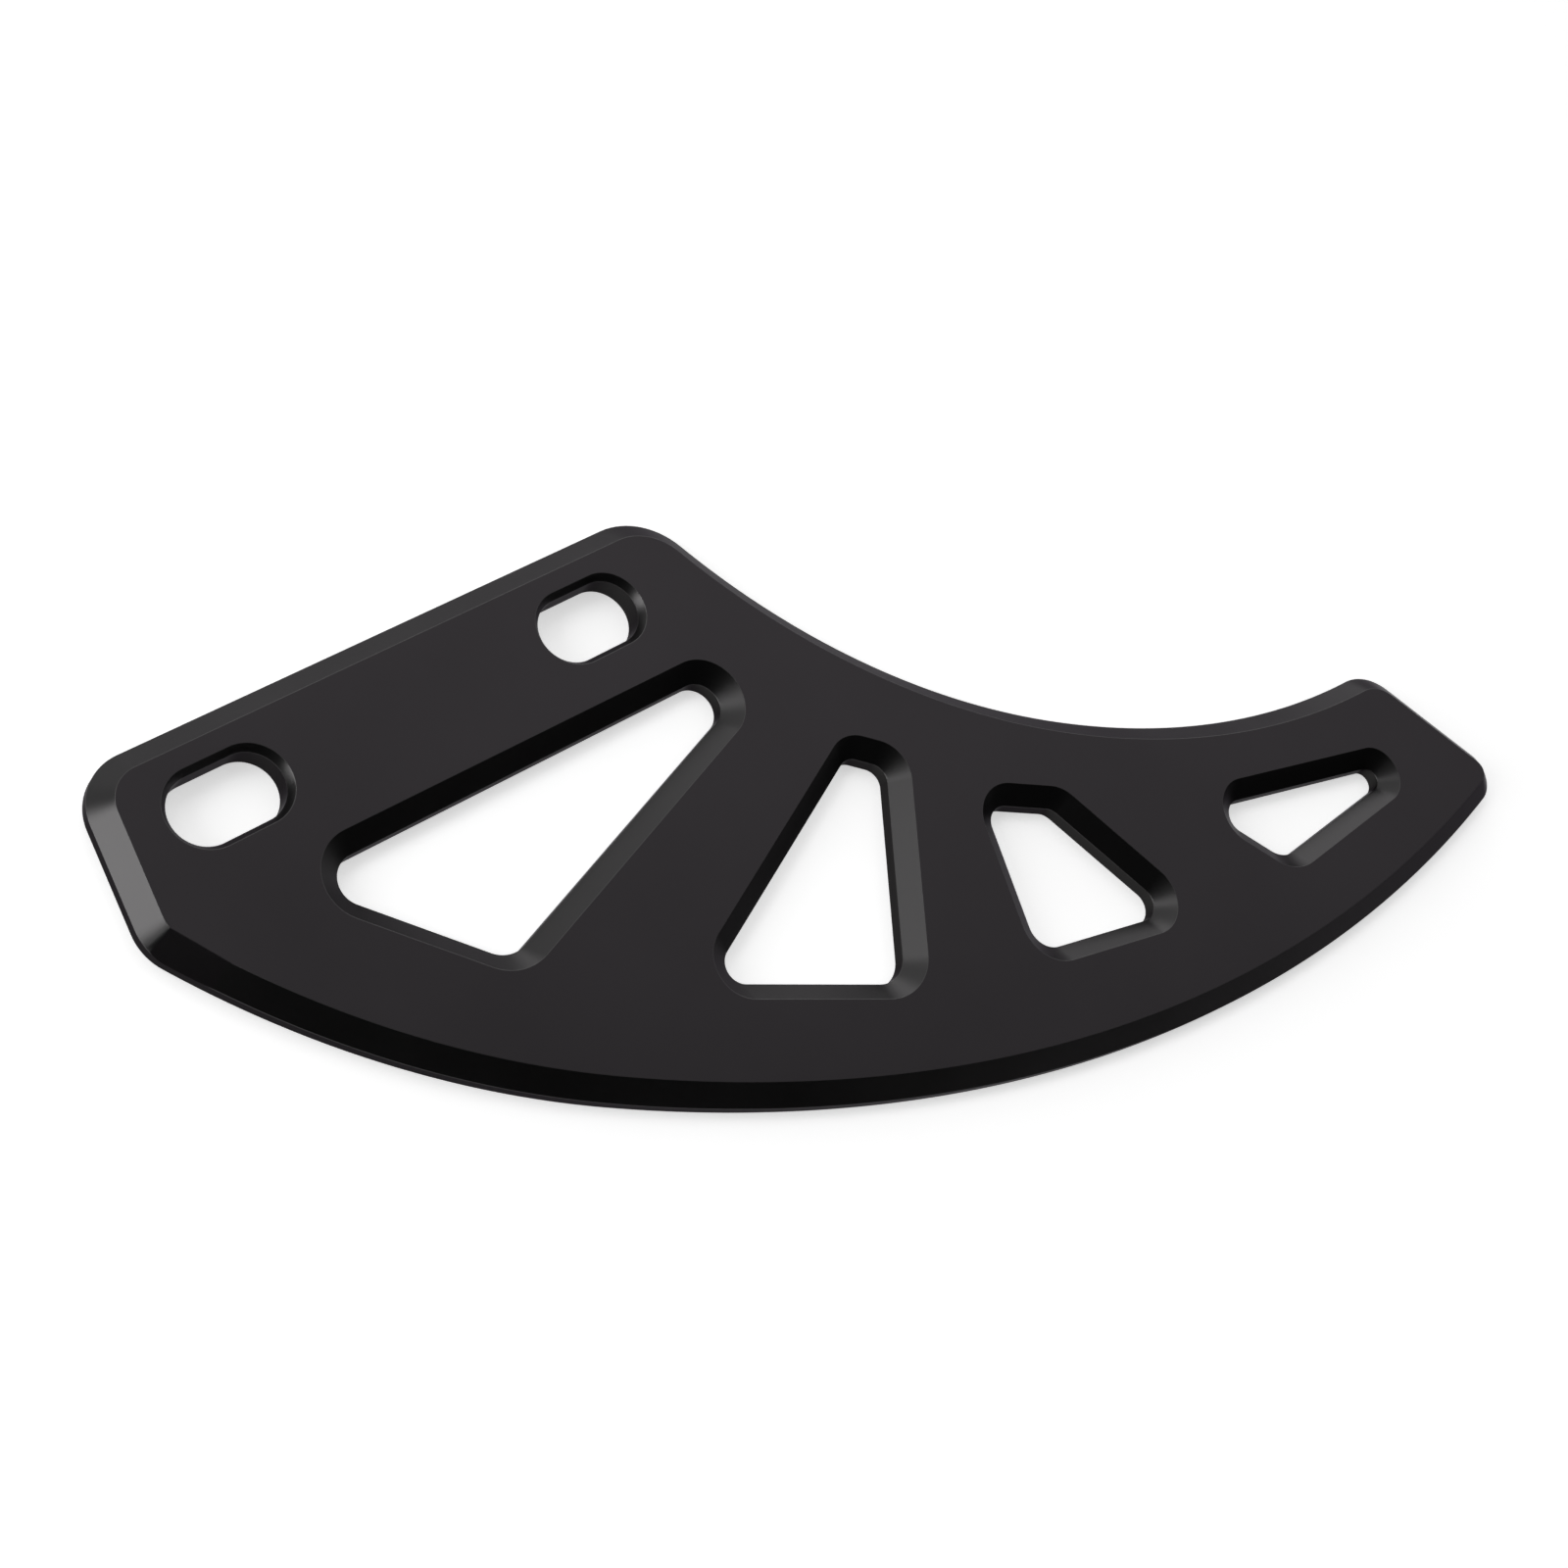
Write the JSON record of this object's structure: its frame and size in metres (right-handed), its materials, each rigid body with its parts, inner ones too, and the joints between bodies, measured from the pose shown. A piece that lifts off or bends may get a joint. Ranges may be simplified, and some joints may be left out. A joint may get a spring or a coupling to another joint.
{
  "type": "motorcycle chain guard",
  "caption": "Crescent-shaped machined guard plate with bevelled edges, fan-like lightening windows and bolt slots along its straight mounting edge.",
  "frame": {"origin": "midway between the centres of the two bolt slots, on the flat back face", "axes": "+X along the line of the slots, towards the pointed end; +Y towards the straight mounting edge; +Z out of the bevelled front face, along the bolts"},
  "size_m": [0.1919, 0.0968, 0.004],
  "materials": {
    "black_anodised": "satin black anodised"
  },
  "bodies": {
    "root": {"guard_plate": "black_anodised"}
  },
  "joints": []
}
